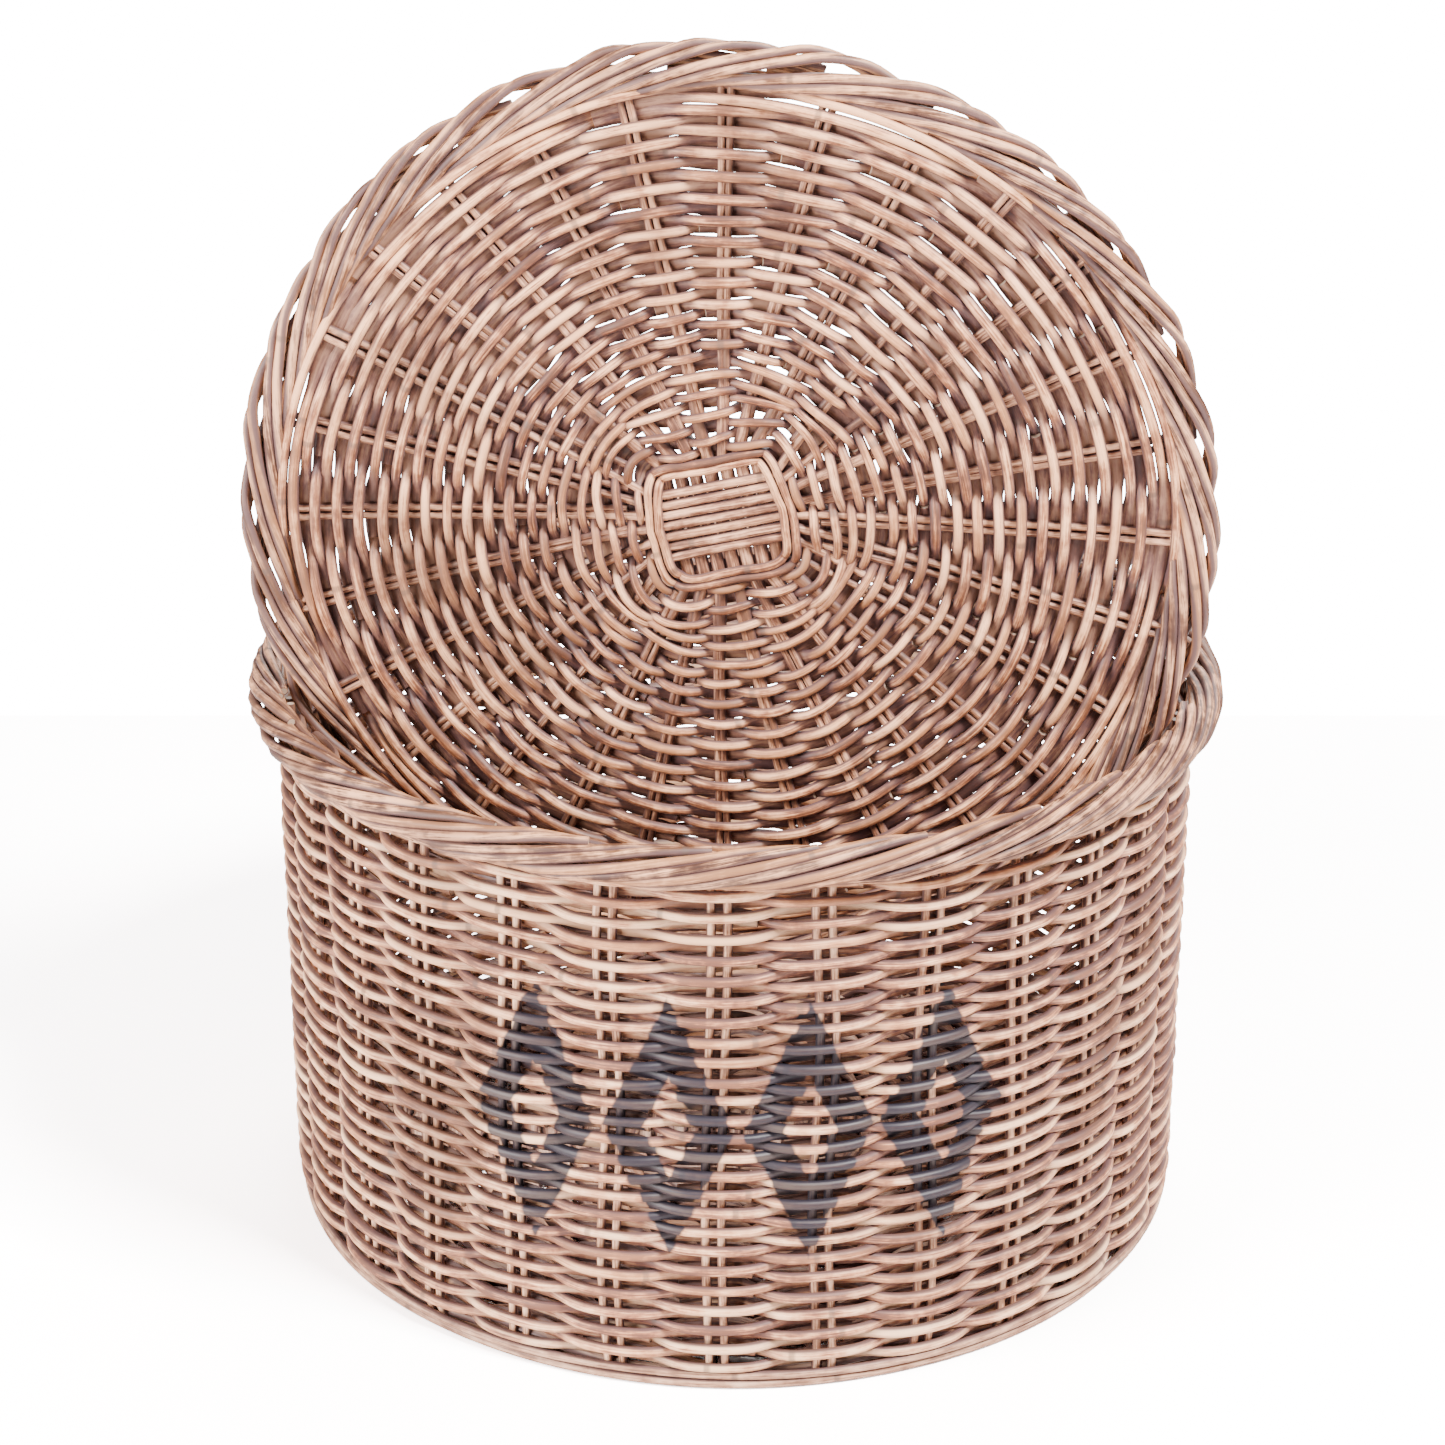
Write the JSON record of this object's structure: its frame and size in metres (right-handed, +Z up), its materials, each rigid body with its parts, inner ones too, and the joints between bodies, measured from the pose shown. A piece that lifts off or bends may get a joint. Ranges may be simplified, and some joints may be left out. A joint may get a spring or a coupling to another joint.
{
  "type": "laundry hamper with lid",
  "caption": "Low round woven rattan laundry basket with a rolled rim; a loose flat round woven lid stands upright in its mouth.",
  "frame": {"origin": "centre of the basket's foot, on the surface it stands on", "axes": "+Z up, -Y towards the front, which the standing lid's underside faces, +X to the right seen from the front"},
  "size_m": [0.4996, 0.4996, 0.6237],
  "materials": {
    "wall_weavers": "matte aged rattan",
    "wall_stakes": "matte aged rattan",
    "foot_hoops": "matte aged rattan",
    "rim_border": "matte aged rattan",
    "base_rods": "matte aged rattan",
    "lid_border": "matte aged rattan",
    "lid_rods": "matte aged rattan"
  },
  "bodies": {
    "basket": {"base_bye_spokes": "base_rods", "base_cross_binding": "base_rods", "base_cross_lower": "base_rods", "base_cross_upper": "base_rods", "base_inner_rounds": "base_rods", "base_outer_rounds_1": "base_rods", "base_outer_rounds_2": "base_rods", "foot_hoop_inner": "foot_hoops", "foot_hoop_outer": "foot_hoops", "foot_hoop_upper": "foot_hoops", "rim_crown_rods": "rim_border", "rim_tail_rods": "rim_border", "wall_bye_stakes": "wall_stakes", "wall_stakes": "wall_stakes", "wall_weave_band_1": "wall_weavers", "wall_weave_band_2": "wall_weavers", "wall_weave_band_3": "wall_weavers", "wall_weave_band_4": "wall_weavers", "wall_weave_band_5": "wall_weavers", "wall_weave_band_6": "wall_weavers", "wall_weave_band_7": "wall_weavers", "wall_weave_band_8": "wall_weavers"},
    "lid": {"lid_bye_spokes": "lid_rods", "lid_cross_back": "lid_rods", "lid_cross_binding": "lid_rods", "lid_cross_front": "lid_rods", "lid_crown_rods": "lid_border", "lid_inner_rounds": "lid_rods", "lid_outer_rounds_1": "lid_rods", "lid_outer_rounds_2": "lid_rods", "lid_outer_rounds_3": "lid_rods", "lid_tail_rods": "lid_border"}
  },
  "joints": [
    {"name": "lid_lift", "type": "slide", "parent": "basket", "child": "lid", "axis": [0, 0, 1], "range_m": [0, 0.2]}
  ]
}
